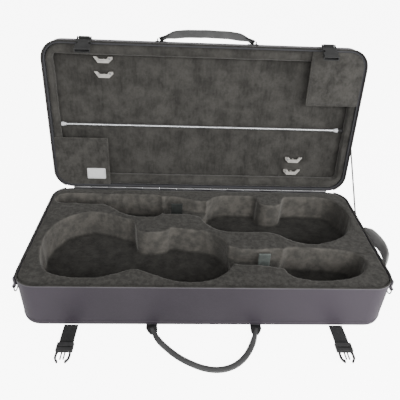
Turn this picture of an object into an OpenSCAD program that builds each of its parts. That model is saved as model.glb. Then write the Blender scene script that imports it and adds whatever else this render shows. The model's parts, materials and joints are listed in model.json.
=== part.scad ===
// Oblong double case for two bowed instruments, standing open.
// Millimetres, +Z up. The origin is the centre of the bottom face.

/* [Case] */
// Outside length of the case
case_l = 800; // [760:5:860]
// Outside width of the base and of the lid
case_w = 380; // [370:2:400]
// Height of the base from the floor to its rim
base_h = 117; // [112:1:130]
// Depth of the lid from its rim to its top
lid_d = 50; // [48:1:60]
// Radius of the upright corners
corner_r = 46; // [40:1:52]
// Radius of the rounded outer edges
edge_r = 7; // [5:1:12]
// Angle from closed to fully open, where the stay cord is taut
lid_open = 96.7; // [90:0.1:105]

/* [Walls] */
// Thickness of the outer fabric
skin_t = 1.5; // [1:0.1:2]
// Thickness of the moulded shell walls
shell_t = 4; // [3:0.5:4.5]
// Thickness of the moulded floor and top
floor_t = 5; // [4:0.5:6]
// Free space between two fitted layers
gap = 0.4; // [0.3:0.1:0.6]

/* [Padding] */
// Height of the instrument well floors
well_z = 46; // [40:1:52]
// Height of the neck channel floors
neck_z = 76; // [70:1:82]
// Height of the floor of the narrow rear slot
slot_z = 62; // [50:1:80]
// Width of the padded border of the lid
border_w = 22; // [18:1:26]

/* [Hardware] */
// Radius of the hinge knuckles
knuckle_r = 2.4; // [2:0.1:2.8]
// Radius of the hinge pin
pin_r = 1.2; // [1:0.1:1.4]
// Number of hinge knuckles
knuckles = 15; // [9:2:21]
// Distance of the front straps from the middle
strap_x = 290; // [270:5:300]
// Width of the strap webbing
webbing_w = 30; // [28:1:32]
// Diameter of the lid brace rod
rod_dia = 7; // [6:0.5:9]

/* [Hidden] */
$fn = 48;
rim_gap = 3;
rim_z = base_h + rim_gap;
hinge_y = case_w / 2;
hinge_z = base_h + rim_gap / 2;
hinge_l = 704;
trim_in = 2.4;
trim_out = 0.8;
trim_h = 2.6;
shell_in = skin_t + 1.5;
pad_in = shell_in + shell_t + gap;
flange_z = 111;
flange_in = trim_in + gap;
insert_top = base_h - 1;
panel_d = 34;
panel_t = 3;
pad_d = 6;
pocket_d = 2;
front_y = -case_w / 2;
strap_y = front_y - 8.5;
strap_z = 1.9;
strap_l = 41;
buckle_d = -9;
buckle_w = 34;
lid_wall = case_w / 2;

// ---------- shared shapes ----------

// One point of a smooth curve through b and c, at 0 <= t <= 1.
function curve_point(a, b, c, d, t) = 0.5 * (2 * b + (c - a) * t
    + (2 * a - 5 * b + 4 * c - d) * t * t + (3 * b - a - 3 * c + d) * t * t * t);

// Closed smooth outline through its key points.
function closed_curve(keys, steps = 5) = let (n = len(keys)) [
    for (i = [0:n - 1], k = [0:steps - 1])
        curve_point(keys[(i + n - 1) % n], keys[i], keys[(i + 1) % n],
                    keys[(i + 2) % n], k / steps)];

// Open smooth line through its key points, end points included.
function open_curve(keys, steps = 5) = let (n = len(keys)) concat([
    for (i = [0:n - 2], k = [0:steps - 1])
        curve_point(keys[max(i - 1, 0)], keys[i], keys[i + 1],
                    keys[min(i + 2, n - 1)], k / steps)], [keys[n - 1]]);

function unit(v) = v / norm(v);

// The line moved sideways by d at each point.
function moved_line(line, d) = let (n = len(line)) [
    for (i = [0:n - 1])
        let (t = unit(line[min(i + 1, n - 1)] - line[max(i - 1, 0)]))
            line[i] + d * [-t[1], t[0]]];

function reversed(list) = [for (i = [len(list) - 1:-1:0]) list[i]];

// Flat band of width w that follows a line.
module band(line, w) {
    polygon(concat(moved_line(line, w / 2), reversed(moved_line(line, -w / 2))));
}

// Rectangle l by w with corner radius r, about the origin.
module round_rect(l, w, r) {
    square([l, w - 2 * r], center = true);
    square([l - 2 * r, w], center = true);
    for (x = [-1, 1], y = [-1, 1])
        translate([x * (l / 2 - r), y * (w / 2 - r)]) circle(r, $fn = 96);
}

// Plan outline of the case, moved inwards by inset.
module outline(inset) {
    round_rect(case_l - 2 * inset, case_w - 2 * inset, corner_r - inset);
}

// Solid tub of height h, rounded along its bottom edge, inset on all sides.
module tub(inset, h) {
    e = edge_r - inset;
    r = corner_r - inset;
    l = case_l - 2 * inset;
    w = case_w - 2 * inset;
    translate([0, 0, inset]) {
        linear_extrude(h - inset) outline(edge_r);
        translate([0, 0, e]) linear_extrude(h - inset - e) outline(inset);
        for (y = [-1, 1])
            translate([0, y * (w / 2 - e), e]) rotate([0, 90, 0])
                cylinder(r = e, h = l - 2 * r, center = true, $fn = 96);
        for (x = [-1, 1])
            translate([x * (l / 2 - e), 0, e]) rotate([90, 0, 0])
                cylinder(r = e, h = w - 2 * r, center = true, $fn = 96);
        for (x = [-1, 1], y = [-1, 1])
            translate([x * (l / 2 - r), y * (w / 2 - r), e])
                rotate_extrude($fn = 96) translate([r - e, 0])
                    intersection() {
                        circle(e, $fn = 96);
                        translate([0, -e]) square([e, 2 * e]);
                    }
    }
}

// Hollow tub: outer inset, wall thickness t, height h.
module hollow_tub(inset, t, h) {
    difference() {
        tub(inset, h);
        tub(inset + t, h + 1);
    }
}

// Ring that follows the outline between two insets.
module outline_ring(inset_out, inset_in, h) {
    linear_extrude(h) difference() {
        outline(inset_out);
        outline(inset_in);
    }
}

// Clear space for the hinge along the rear rim.
module hinge_room() {
    translate([0, hinge_y, hinge_z]) rotate([0, 90, 0])
        cylinder(r = knuckle_r + 1, h = hinge_l + 2, center = true);
}

// Wider clear space, where the rim trims stop beside the hinge.
module trim_room() {
    cube_c([hinge_l + 40, 12, 14], [0, hinge_y, hinge_z]);
}

module cube_c(size, at) {
    translate(at) cube(size, center = true);
}

// Children are drawn for the closed lid and swung to the open lid.
module lid_place() {
    translate([0, hinge_y, hinge_z]) rotate([-lid_open, 0, 0])
        translate([0, -hinge_y, -hinge_z]) children();
}

// Lid point: s runs from the hinge to the front, d from the rim to the top.
function lid_point(x, s, d) = [x, lid_wall - s, rim_z + d];

module x_cylinder(r, l, at) {
    translate(at) rotate([0, 90, 0]) cylinder(r = r, h = l, center = true);
}

// ---------- base ----------

// Structural tub with rounded outer edges and square inner corners.
module shell_tub(h) {
    difference() {
        tub(shell_in, h);
        translate([0, 0, shell_in + floor_t]) linear_extrude(h) outline(shell_in + shell_t);
    }
}

module base_shell() {
    color([0.10, 0.10, 0.11]) shell_tub(flange_z);
}

module base_cover() {
    color([0.27, 0.25, 0.29]) difference() {
        hollow_tub(0, skin_t, base_h - 2);
        hinge_room();
    }
}

module base_rim_trim() {
    color([0.08, 0.08, 0.09]) difference() {
        translate([0, 0, base_h - 1.6]) outline_ring(-trim_out, trim_in, trim_h);
        trim_room();
    }
}

// Key points of the front well, tail of the instrument first.
front_well = [[-374, 146], [-362, 84], [-336, 44], [-285, 29], [-232, 29],
    [-192, 42], [-155, 56], [-116, 40], [-70, 22], [-25, 17], [22, 31], [56, 66],
    [64, 104], [44, 158], [8, 188], [-45, 198], [-82, 202], [-92, 190],
    [-126, 182], [-157, 187], [-166, 204], [-174, 231], [-206, 244], [-242, 259], [-292, 264],
    [-340, 238], [-366, 196]];
// Key points of the rear well, neck end of the instrument first.
rear_well = [[-6, 262], [8, 222], [44, 195], [95, 190], [140, 193], [178, 184],
    [212, 158], [255, 147], [302, 159], [346, 188], [376, 240], [378, 292],
    [354, 340], [310, 351], [238, 350], [222, 345], [213, 320], [204, 311], [178, 306],
    [158, 312], [149, 326], [141, 349], [92, 353], [48, 350], [14, 322]];
// Key points of the front neck channel.
front_neck = [[44, 84], [74, 74], [120, 72], [182, 64], [182, 124], [120, 123],
    [80, 126], [50, 132]];
// Key points of the rear neck channel.
rear_neck = [[-106, 268], [-70, 264], [-34, 262], [12, 250], [14, 314],
    [-20, 325], [-60, 338], [-106, 342]];
// Key points of the compartment for the scroll and small things at the right.
front_compartment = [[170, 70], [184, 38], [224, 26], [275, 27], [322, 38],
    [352, 62], [360, 92], [344, 116], [300, 127], [240, 132], [192, 132],
    [174, 108]];
// Key points of the compartment behind the front well.
middle_compartment = [[-276, 332], [-258, 304], [-232, 286], [-205, 264],
    [-165, 250], [-125, 250], [-104, 268], [-100, 310], [-112, 346],
    [-155, 351], [-215, 352], [-258, 346]];
// Key points of the narrow slot at the rear left.
rear_slot = [[-388, 330], [-378, 310], [-335, 306], [-262, 305], [-240, 320],
    [-250, 346], [-318, 352], [-372, 350]];

// Pocket sunk from the top of the insert down to floor height z.
module sink(keys, z) {
    translate([0, front_y, z]) linear_extrude(insert_top - z + 2)
        polygon(closed_curve(keys));
}

// Block of the padded insert between two heights.
module insert_block(low, high) {
    translate([0, 0, low]) linear_extrude(high - low) outline(pad_in + 1);
}

// Foam slab under the wells and compartments.
module insert_floor() {
    color([0.21, 0.20, 0.19]) insert_block(edge_r + 4, well_z);
}

// Wells and compartments, cut from height low upwards.
module sunk_wells(low) {
    sink(front_well, low);
    sink(rear_well, low);
    sink(front_compartment, low);
    sink(middle_compartment, low);
}

// Foam round the wells, up to the floors of the neck channels.
module insert_walls() {
    color([0.21, 0.20, 0.19]) difference() {
        insert_block(well_z, neck_z);
        sunk_wells(well_z - 1);
        sink(rear_slot, slot_z);
    }
}

// Foam round the necks, with the flange that covers the rim of the shell.
module insert_collar() {
    color([0.21, 0.20, 0.19]) difference() {
        union() {
            insert_block(neck_z, insert_top);
            translate([0, 0, flange_z + gap])
                linear_extrude(insert_top - flange_z - gap) outline(flange_in);
        }
        sunk_wells(neck_z - 1);
        for (keys = [rear_slot, front_neck, rear_neck]) sink(keys, neck_z - 1);
        cube_c([hinge_l + 1, 8, 10], [0, hinge_y, hinge_z - 1]);
    }
}

// Spacing of the hinge knuckles and thickness of the leaves.
knuckle_pitch = hinge_l / knuckles;
leaf_t = 0.8;
leaf_h = 20;

module knuckle_row(first) {
    for (i = [first:2:knuckles - 1])
        x_cylinder(knuckle_r, knuckle_pitch - 1,
                   [(i + 0.5) * knuckle_pitch - hinge_l / 2, hinge_y, hinge_z]);
}

// Hinge leaf: side is -1 for the base and 1 for the lid.
module hinge_leaf(first, side) {
    plate_y = hinge_y - knuckle_r + leaf_t / 2;
    low = knuckle_r + 0.7;
    difference() {
        union() {
            knuckle_row(first);
            for (i = [first:2:knuckles - 1])
                cube_c([knuckle_pitch - 1, leaf_t, low + 0.2],
                       [(i + 0.5) * knuckle_pitch - hinge_l / 2, plate_y,
                        hinge_z + side * low / 2]);
            cube_c([hinge_l, leaf_t, leaf_h],
                   [0, plate_y, hinge_z + side * (low + leaf_h / 2)]);
        }
        x_cylinder(pin_r + 0.1, hinge_l + 2, [0, hinge_y, hinge_z]);
    }
}

module hinge_leaf_base() {
    color([0.62, 0.62, 0.64]) hinge_leaf(0, -1);
}

module hinge_pin() {
    color([0.70, 0.70, 0.72]) x_cylinder(pin_r, hinge_l - 2, [0, hinge_y, hinge_z]);
}

// Flat tabs that come out from under the front bottom edge.
module root_tab(x, w) {
    cube_c([w, 3.4, 1.8], [x, front_y - 1, 1.3]);
}

module strap_roots() {
    color([0.13, 0.12, 0.11]) for (s = [-1, 1]) root_tab(s * strap_x, webbing_w);
}

grip_root_x = 114;

module base_handle_tabs() {
    color([0.07, 0.07, 0.07]) for (s = [-1, 1]) root_tab(s * grip_root_x - 3, 24);
}

// ---------- handles ----------

// Long soft handle that lies on the floor in front of the base.
handle_line = [[-117, 2], [-111, 20], [-86, 50], [-54, 79], [-24, 97], [5, 107],
    [35, 107], [66, 92], [88, 64], [104, 30], [112, 2]];

module base_handle() {
    color([0.25, 0.25, 0.25]) {
        translate([0, strap_y, 0.4]) mirror([0, 1, 0])
            linear_extrude(8) band(open_curve(handle_line), 13);
        for (x = [-117, 111]) x_cylinder(2.6, 22, [x, strap_y, 3.2]);
    }
}

// Arched grip: spans 2 * half along X, rises along -Y, w wide along Z.
module arched_grip(half, rise, w, t) {
    line = open_curve([[-half, 1], [-half + 14, rise * 0.45], [-half + 40, rise * 0.85],
        [0, rise], [half - 40, rise * 0.85], [half - 14, rise * 0.45], [half, 1]]);
    intersection() {
        translate([0, 0, -w / 2]) mirror([0, 1, 0]) linear_extrude(w) band(line, t);
        rotate([90, 0, 0]) linear_extrude(4 * rise, center = true)
            polygon([[-half - 4, -4], [-half + 12, -4], [-half + 26, -w / 2],
                [half - 26, -w / 2], [half - 12, -4], [half + 4, -4], [half + 4, 4],
                [half - 12, 4], [half - 26, w / 2], [-half + 26, w / 2],
                [-half + 12, 4], [-half - 4, 4]]);
    }
    for (s = [-1, 1]) x_cylinder(2.4, 12, [s * half, 0, 0]);
}

// Small plate under the end of an arched grip.
module grip_plates(half) {
    for (s = [-1, 1]) {
        cube_c([26, 1.4, 20], [s * (half + 2), 5, 0]);
        x_cylinder(2.4, 3, [s * (half + 9), 0, 0]);
        cube_c([3, 4.6, 4.8], [s * (half + 9), 2.3, 0]);
    }
}

lid_grip_half = 112;
lid_grip_d = 28;
side_grip_half = 70;

module lid_grip_place() {
    lid_place() translate([0, front_y - 6.2, rim_z + lid_grip_d]) children();
}

module side_grip_place() {
    translate([case_l / 2 + 6.2, -34, 100]) rotate([0, 0, 90]) children();
}

module lid_handle() {
    color([0.30, 0.30, 0.30]) lid_grip_place() arched_grip(lid_grip_half, 20, 22, 4);
}

module lid_handle_tabs() {
    color([0.06, 0.06, 0.06]) lid_grip_place() grip_plates(lid_grip_half);
}

module side_handle() {
    color([0.42, 0.42, 0.40]) side_grip_place() arched_grip(side_grip_half, 22, 20, 5);
}

module side_handle_tabs() {
    color([0.10, 0.10, 0.10]) side_grip_place() grip_plates(side_grip_half);
}

// ---------- rings and stay cord ----------

ring_x = case_l / 2 + 5.6;
ring_y = -152;
ring_z = 86;

module ring_tab() {
    translate([ring_x, ring_y, ring_z]) {
        cube_c([2, 16, 24], [-3.6, 0, 14]);
        cube_c([2.4, 16, 4], [-3.4, 0, 2.2]);
        rotate([90, 0, 0]) difference() {
            cylinder(r = 4.2, h = 16, center = true);
            cylinder(r = 2.4, h = 17, center = true);
        }
    }
}

module ring_tabs() {
    color([0.33, 0.33, 0.34]) {
        ring_tab();
        mirror([1, 0, 0]) ring_tab();
    }
}

module ring_right() {
    color([0.35, 0.35, 0.36]) hanging_ring();
}

// D-shaped ring that hangs from its straight bar.
module hanging_ring() {
    wire = 1.4;
    translate([ring_x, ring_y, ring_z]) {
        rotate([90, 0, 0]) cylinder(r = wire, h = 21, center = true);
        for (s = [-1, 1]) {
            translate([0, s * 10.5, -7]) cylinder(r = wire, h = 7);
            translate([0, s * 10.5, 0]) sphere(wire);
        }
        translate([0, 0, -7]) intersection() {
            rotate([0, 90, 0]) rotate_extrude($fn = 64)
                translate([10.5, 0]) circle(wire);
            cube_c([10, 40, 20], [0, 0, -10]);
        }
    }
}

module ring_left() {
    mirror([1, 0, 0]) ring_right();
}

cord_x = case_l / 2 + 2.9;
cord_r = 1.4;
cord_base = [cord_x, 90, 112];
cord_lid_closed = lid_point(cord_x, 118, 8);
// The lid end of the cord when the lid is open.
cord_arm = [cord_lid_closed[1] - hinge_y, cord_lid_closed[2] - hinge_z];
cord_lid = [cord_x,
    hinge_y + cord_arm[0] * cos(lid_open) + cord_arm[1] * sin(lid_open),
    hinge_z - cord_arm[0] * sin(lid_open) + cord_arm[1] * cos(lid_open)];
cord_span = norm(cord_lid - cord_base);
cord_angle = atan2(cord_lid[2] - cord_base[2], cord_lid[1] - cord_base[1]);

// Half of the cord from its eye towards the other eye, turned by angle.
module half_cord(at, angle) {
    translate(at) rotate([angle, 0, 0]) {
        difference() {
            rotate([0, 90, 0]) cylinder(r = 3.2, h = 2.2, center = true);
            rotate([0, 90, 0]) cylinder(r = 2, h = 4, center = true);
        }
        translate([0, 2.6, 0]) rotate([-90, 0, 0])
            cylinder(r = cord_r, h = cord_span / 2 - 3.2);
    }
}

module stay_cord_lower() {
    color([0.16, 0.16, 0.17]) half_cord(cord_base, cord_angle);
}

module stay_cord_upper() {
    color([0.16, 0.16, 0.17]) half_cord(cord_lid, cord_angle + 180);
}

// Rivet that holds an eye of the cord, pointing away from the wall.
module cord_rivet(at) {
    translate(at) {
        x_cylinder(1.4, 4, [-0.3, 0, 0]);
        x_cylinder(3, 0.9, [2, 0, 0]);
    }
}

module cord_rivet_base() {
    color([0.30, 0.30, 0.31]) cord_rivet(cord_base);
}

module cord_rivet_lid() {
    color([0.30, 0.30, 0.31]) lid_place() cord_rivet(cord_lid_closed);
}

// ---------- lid ----------

// Drawn closed: the tub upside down on the rim plane.
module lid_tub_place() {
    lid_place() translate([0, 0, rim_z + lid_d]) mirror([0, 0, 1]) children();
}

module lid_shell() {
    color([0.10, 0.10, 0.11]) lid_tub_place() shell_tub(lid_d - 4);
}

module lid_cover() {
    color([0.27, 0.25, 0.29]) difference() {
        lid_tub_place() hollow_tub(0, skin_t, lid_d - 2);
        lid_place() hinge_room();
    }
}

module lid_rim_trim() {
    color([0.08, 0.08, 0.09]) lid_place() difference() {
        translate([0, 0, rim_z - 1]) outline_ring(-trim_out, trim_in, trim_h);
        trim_room();
    }
}

module hinge_leaf_lid() {
    color([0.62, 0.62, 0.64]) lid_place() hinge_leaf(1, 1);
}

module lid_border_pad() {
    color([0.23, 0.22, 0.21]) lid_place() translate([0, 0, rim_z + pad_d])
        linear_extrude(panel_d - pad_d - gap) difference() {
            outline(pad_in);
            round_rect(case_l - 2 * border_w, case_w - 60, 12);
        }
}

module lid_lining_panel() {
    color([0.22, 0.21, 0.20]) lid_place() translate([0, 0, rim_z + panel_d])
        linear_extrude(panel_t) outline(pad_in);
}

// Card pocket that closes one corner of the lid over the padded border.
module corner_pocket(x0, x1, s0, s1) {
    lid_place() translate([0, 0, rim_z + pocket_d]) linear_extrude(3)
        intersection() {
            outline(pad_in);
            translate([x0, lid_wall - s1]) square([x1 - x0, s1 - s0]);
        }
}

module bow_tip_pocket_left() {
    color([0.20, 0.20, 0.19]) corner_pocket(-case_l / 2, -252, 0, 140);
}

module bow_tip_pocket_right() {
    color([0.20, 0.20, 0.19]) corner_pocket(258, case_l / 2, 240, case_w);
}

module plain_label() {
    color([0.92, 0.92, 0.90]) lid_place()
        cube_c([49, 30, 0.8], lid_point(-288, 40, pocket_d - 0.6));
}

rod_s = 170;
rod_d = 24;
rod_x0 = -374;
rod_x1 = 362;
cap_l = 12;

module brace_rod() {
    color([0.82, 0.83, 0.85]) lid_place()
        x_cylinder(rod_dia / 2, rod_x1 - rod_x0 - 2 * cap_l - 0.4,
                   lid_point((rod_x0 + rod_x1) / 2, rod_s, rod_d));
}

// Flared caps on both ends of the rod.
module rod_end_caps() {
    color([0.90, 0.91, 0.92]) lid_place() {
        x_cylinder(rod_dia / 2 + 2.2, cap_l, lid_point(rod_x0 + cap_l / 2, rod_s, rod_d));
        x_cylinder(rod_dia / 2 + 2.2, cap_l, lid_point(rod_x1 - cap_l / 2, rod_s, rod_d));
    }
}

module rod_socket() {
    color([0.05, 0.05, 0.05]) lid_place()
        x_cylinder(rod_dia / 2 + 1.4, 14, lid_point(rod_x1 + 7.6, rod_s, rod_d));
}

// Bow holders: x and s of the middle, and the side of the pivot.
bow_holders = [[-256, 335, 1], [-256, 299, 1], [253, 82, -1], [252, 46, -1]];
holder_d = 24;
key_pivot = 17;

// Boat-shaped bow holder with a foot on the panel.
module bow_holder(h) {
    translate(lid_point(h[0], h[1], holder_d)) mirror([h[2] < 0 ? 1 : 0, 0, 0]) {
        linear_extrude(5) polygon([[-24, -7], [-16, -7], [-9, 0], [7, 0], [13, -7],
            [23, -7], [23, -1], [13, 8], [-13, 8]]);
        translate([0, 2.5, 5]) cylinder(r = 4, h = panel_d - holder_d - 5.3);
        translate([key_pivot, -3, -4.4]) cylinder(r = 1.5, h = 4.6);
    }
}

module bow_holder_bases() {
    color([0.66, 0.65, 0.62]) lid_place() for (h = bow_holders) bow_holder(h);
}

// Turning key that holds the bow stick in its holder.
module bow_key(h) {
    color([0.74, 0.73, 0.70]) lid_place()
        translate(lid_point(h[0], h[1], holder_d - 3.8)) mirror([h[2] < 0 ? 1 : 0, 0, 0])
            translate([key_pivot, -3, 0]) difference() {
                union() {
                    cylinder(r = 4, h = 3);
                    translate([-26, 1, 0]) cube([26, 4, 3]);
                    translate([-26, 3, 0]) cylinder(r = 2, h = 3);
                }
                translate([0, 0, -1]) cylinder(r = 1.6, h = 5);
            }
}

module bow_key_1() { bow_key(bow_holders[0]); }
module bow_key_2() { bow_key(bow_holders[1]); }
module bow_key_3() { bow_key(bow_holders[2]); }
module bow_key_4() { bow_key(bow_holders[3]); }

// ---------- front straps and buckles ----------

// Strap frame: X across, +Y away from the base, pivot at the origin.
module strap_place(x) {
    translate([x, strap_y, strap_z]) rotate([0, 0, 180]) children();
}

module strap_webbing(x) {
    color([0.14, 0.13, 0.11]) strap_place(x) {
        rotate([0, 90, 0]) cylinder(r = 1.6, h = webbing_w, center = true);
        translate([-webbing_w / 2 + 1, 0, -1.6]) cube([webbing_w - 2, strap_l + 5, 2]);
    }
}

// Prong outline on one side, from the frame to the barb.
prong_points = [[9.5, 59], [14, 59], [15.6, 66], [15.8, 74], [15.2, 79], [12.5, 84],
    [9, 89], [6.5, 88], [6.8, 84], [10.6, 80], [11.8, 74], [11.6, 67], [10, 62]];

module male_buckle(x) {
    color([0.11, 0.11, 0.12]) strap_place(x) {
        difference() {
            translate([-buckle_w / 2, strap_l, -1.6]) cube([buckle_w, 21, 7]);
            translate([-buckle_w / 2 + 2, strap_l - 1, -2]) cube([buckle_w - 4, 7.5, 4.2]);
            translate([-buckle_w / 2 + 2, strap_l + 9.4, -2]) cube([buckle_w - 4, 3.2, 8]);
        }
        for (s = [0, 1]) mirror([s, 0, 0]) {
            translate([0, 0, -0.4]) linear_extrude(4.6) polygon(prong_points);
            translate([2, strap_l + 20, 0.6]) cube([2.4, 20, 2.6]);
        }
    }
}

module strap_webbing_left() { strap_webbing(-strap_x); }
module strap_webbing_right() { strap_webbing(strap_x); }
module male_buckle_left() { male_buckle(-strap_x); }
module male_buckle_right() { male_buckle(strap_x); }

buckle_pivot_y = strap_y;
buckle_pivot_z = rim_z + buckle_d;
socket_l = 36;
// Turn of the buckle socket about its bar while the lid stands open.
socket_tilt = 60;

// Buckle socket drawn beside the lid rim: +Y runs towards its mouth.
module female_buckle(x) {
    color([0.12, 0.12, 0.13]) lid_place()
            translate([x, buckle_pivot_y, buckle_pivot_z]) rotate([-socket_tilt, 0, 0]) {
        rotate([0, 90, 0]) cylinder(r = 1.6, h = buckle_w, center = true);
        for (s = [-1, 1]) cube_c([2.8, 14, 4.4], [s * 15.6, 4.5, 0]);
        difference() {
            union() {
                translate([-buckle_w / 2, 10, -2.6]) cube([buckle_w, socket_l, 9]);
                translate([-buckle_w / 2 - 1.5, 8 + socket_l, -3.2])
                    cube([buckle_w + 3, 2, 10.2]);
            }
            translate([-16.4, 15, -1.2]) cube([32.8, socket_l, 6.2]);
            for (s = [-1, 1])
                translate([s * buckle_w / 2, 22, 0])
                    cylinder(r = 5, h = 20, center = true);
        }
    }
}

module female_buckle_left() { female_buckle(-strap_x); }
module female_buckle_right() { female_buckle(strap_x); }

// Webbing on the lid wall with a loop round the bar of the buckle.
module buckle_webbing_loop(x) {
    lid_place() translate([x, 0, 0]) {
        cube_c([25, 1.8, 40], [0, front_y - 2.3, rim_z + 11]);
        difference() {
            union() {
                x_cylinder(4.2, 25, [0, buckle_pivot_y, buckle_pivot_z]);
                cube_c([25, 4.4, 1.8], [0, buckle_pivot_y + 4.8, buckle_pivot_z + 1]);
            }
            x_cylinder(2.4, 26, [0, buckle_pivot_y, buckle_pivot_z]);
        }
    }
}

module buckle_webbing_loops() {
    color([0.13, 0.12, 0.12]) for (s = [-1, 1]) buckle_webbing_loop(s * strap_x);
}

// ---------- neck straps ----------

// Upright webbing tab that folds over an instrument neck.
module neck_strap(x, y, z, w, h) {
    color([0.36, 0.40, 0.38]) translate([x, y, z]) {
        rotate([0, 90, 0]) cylinder(r = 1.5, h = w, center = true);
        translate([-w / 2, -1, 0]) cube([w, 2, h]);
    }
}

module neck_strap_front() {
    neck_strap(136, front_y + 108, neck_z + 2.2, 27, insert_top - neck_z - 3);
}

module neck_strap_rear() {
    neck_strap(-68, front_y + 308, neck_z + 2.2, 30, insert_top - neck_z - 3);
}

base_shell();
base_cover();
base_rim_trim();
insert_floor();
insert_walls();
insert_collar();
hinge_leaf_base();
hinge_pin();
strap_roots();
base_handle_tabs();
side_handle_tabs();
ring_tabs();
cord_rivet_base();
lid_shell();
lid_cover();
lid_rim_trim();
lid_border_pad();
lid_lining_panel();
hinge_leaf_lid();
bow_tip_pocket_left();
bow_tip_pocket_right();
plain_label();
brace_rod();
rod_end_caps();
rod_socket();
bow_holder_bases();
lid_handle_tabs();
buckle_webbing_loops();
cord_rivet_lid();
bow_key_1();
bow_key_2();
bow_key_3();
bow_key_4();
base_handle();
lid_handle();
side_handle();
strap_webbing_left();
male_buckle_left();
strap_webbing_right();
male_buckle_right();
female_buckle_left();
female_buckle_right();
ring_left();
ring_right();
neck_strap_front();
neck_strap_rear();
stay_cord_lower();
stay_cord_upper();
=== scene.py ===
import json
import math

import bmesh
import bpy
from mathutils import Matrix, Vector, noise


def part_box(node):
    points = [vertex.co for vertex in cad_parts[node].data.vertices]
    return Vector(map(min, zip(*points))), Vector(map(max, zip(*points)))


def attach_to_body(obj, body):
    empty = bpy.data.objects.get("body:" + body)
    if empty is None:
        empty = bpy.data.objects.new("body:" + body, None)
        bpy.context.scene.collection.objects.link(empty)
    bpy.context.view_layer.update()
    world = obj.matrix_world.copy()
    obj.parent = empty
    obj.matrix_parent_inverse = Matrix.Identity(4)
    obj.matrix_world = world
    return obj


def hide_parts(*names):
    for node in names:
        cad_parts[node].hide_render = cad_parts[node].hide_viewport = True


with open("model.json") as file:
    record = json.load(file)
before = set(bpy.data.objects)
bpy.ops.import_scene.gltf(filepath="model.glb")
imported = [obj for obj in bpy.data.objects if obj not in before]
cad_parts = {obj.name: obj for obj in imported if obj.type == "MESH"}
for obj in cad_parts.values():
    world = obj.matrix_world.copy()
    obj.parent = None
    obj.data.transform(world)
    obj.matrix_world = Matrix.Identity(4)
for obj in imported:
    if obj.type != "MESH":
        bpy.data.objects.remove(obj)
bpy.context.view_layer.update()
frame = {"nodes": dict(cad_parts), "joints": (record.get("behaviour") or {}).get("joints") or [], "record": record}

MM = 0.001
RIGHT = Vector((1, 0, 0))
BACK = Vector((0, 1, 0))
UP = Vector((0, 0, 1))
NODES = frame["nodes"]
JOINTS = {joint["name"]: joint for joint in frame["joints"]}
SLOTS = {slot["slot"]: slot for slot in frame["record"]["materials"]}


# ---------- places that come from the frame ----------


def pivot_of(joint):
    return Vector(JOINTS[joint]["pos_m"])


def box_of(points):
    """Lowest and highest corner of the box round some points."""
    low = Vector([min(p[i] for p in points) for i in range(3)])
    high = Vector([max(p[i] for p in points) for i in range(3)])
    return low, high


def closed_box(node):
    """Box of a lid node when the lid is closed."""
    return box_of([TURN_BACK @ v.co for v in NODES[node].data.vertices])


def half_box(node, axis, sign):
    """Box of the solids of a node that lie on one side of its middle."""
    points = [v.co for v in NODES[node].data.vertices]
    low, high = box_of(points)
    middle = (low[axis] + high[axis]) / 2
    return box_of([p for p in points if (p[axis] - middle) * sign > 0])


def opened(body, points):
    """Points of the closed case, carried along when they belong to the lid."""
    return [TURN @ p for p in points] if body == "lid" else points


COVER_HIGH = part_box("base_cover")[1]
HALF_L = COVER_HIGH.x
HALF_W = COVER_HIGH.y
CORNER_R = 46 * MM
HINGE = pivot_of("lid_hinge")
LID_OPEN = math.radians(JOINTS["lid_hinge"]["range_deg"][1])
# Turns the closed lid to its rest position, which is open.
TURN = Matrix.Translation(HINGE) @ Matrix.Rotation(-LID_OPEN, 4, "X") @ Matrix.Translation(-HINGE)
TURN_BACK = TURN.inverted()
# Direction that the inside of the lid faces at rest.
LID_FACE = (TURN.to_3x3() @ -UP).normalized()
INSERT_NODES = ("insert_floor", "insert_walls", "insert_collar")


# ---------- mesh helpers ----------


def paint(obj, material):
    """Gives a piece one of the finishes as its only material."""
    obj.data.materials.clear()
    obj.data.materials.append(MATERIALS[material])


def add_object(name, mesh, material=None):
    """Smooth-shaded object with that mesh, linked to the scene."""
    obj = bpy.data.objects.new(name, mesh)
    bpy.context.scene.collection.objects.link(obj)
    mesh.polygons.foreach_set("use_smooth", [True] * len(mesh.polygons))
    if material:
        paint(obj, material)
    return obj


def attach(obj, body, slot, *nodes):
    """Puts a piece on its body, in place of the CAD nodes that it stands for, which are hidden; slot is not used.
    """
    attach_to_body(obj, body)
    if nodes:
        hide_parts(*nodes)


def mesh_from(name, points, faces):
    mesh = bpy.data.meshes.new(name)
    mesh.from_pydata([tuple(p) for p in points], [], faces)
    mesh.update()
    return mesh


def bake(obj):
    """Applies all modifiers."""
    graph = bpy.context.evaluated_depsgraph_get()
    mesh = bpy.data.meshes.new_from_object(obj.evaluated_get(graph))
    obj.modifiers.clear()
    obj.data = mesh
    mesh.polygons.foreach_set("use_smooth", [True] * len(mesh.polygons))


def copy_of_node(node, name):
    """Free copy of a CAD node with its split vertices joined."""
    mesh = NODES[node].data.copy()
    obj = add_object(name, mesh)
    for key in list(obj.keys()):
        del obj[key]
    bm = bmesh.new()
    bm.from_mesh(mesh)
    bmesh.ops.remove_doubles(bm, verts=bm.verts, dist=1e-6)
    bm.to_mesh(mesh)
    bm.free()
    return obj


def remesh_soft(obj, voxel, rounds):
    """Even voxel mesh whose edges are rounded by smoothing."""
    modifier = obj.modifiers.new("voxels", "REMESH")
    modifier.mode = "VOXEL"
    modifier.voxel_size = voxel
    bake(obj)
    modifier = obj.modifiers.new("soft", "SMOOTH")
    modifier.factor = 0.5
    modifier.iterations = rounds
    bake(obj)


def add_bevel(obj, width, segments, sharp):
    """Bevels the edges that turn by more than sharp degrees."""
    edge = obj.modifiers.new("edges", "BEVEL")
    edge.width = width
    edge.segments = segments
    edge.limit_method = "ANGLE"
    edge.angle_limit = math.radians(sharp)


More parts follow.
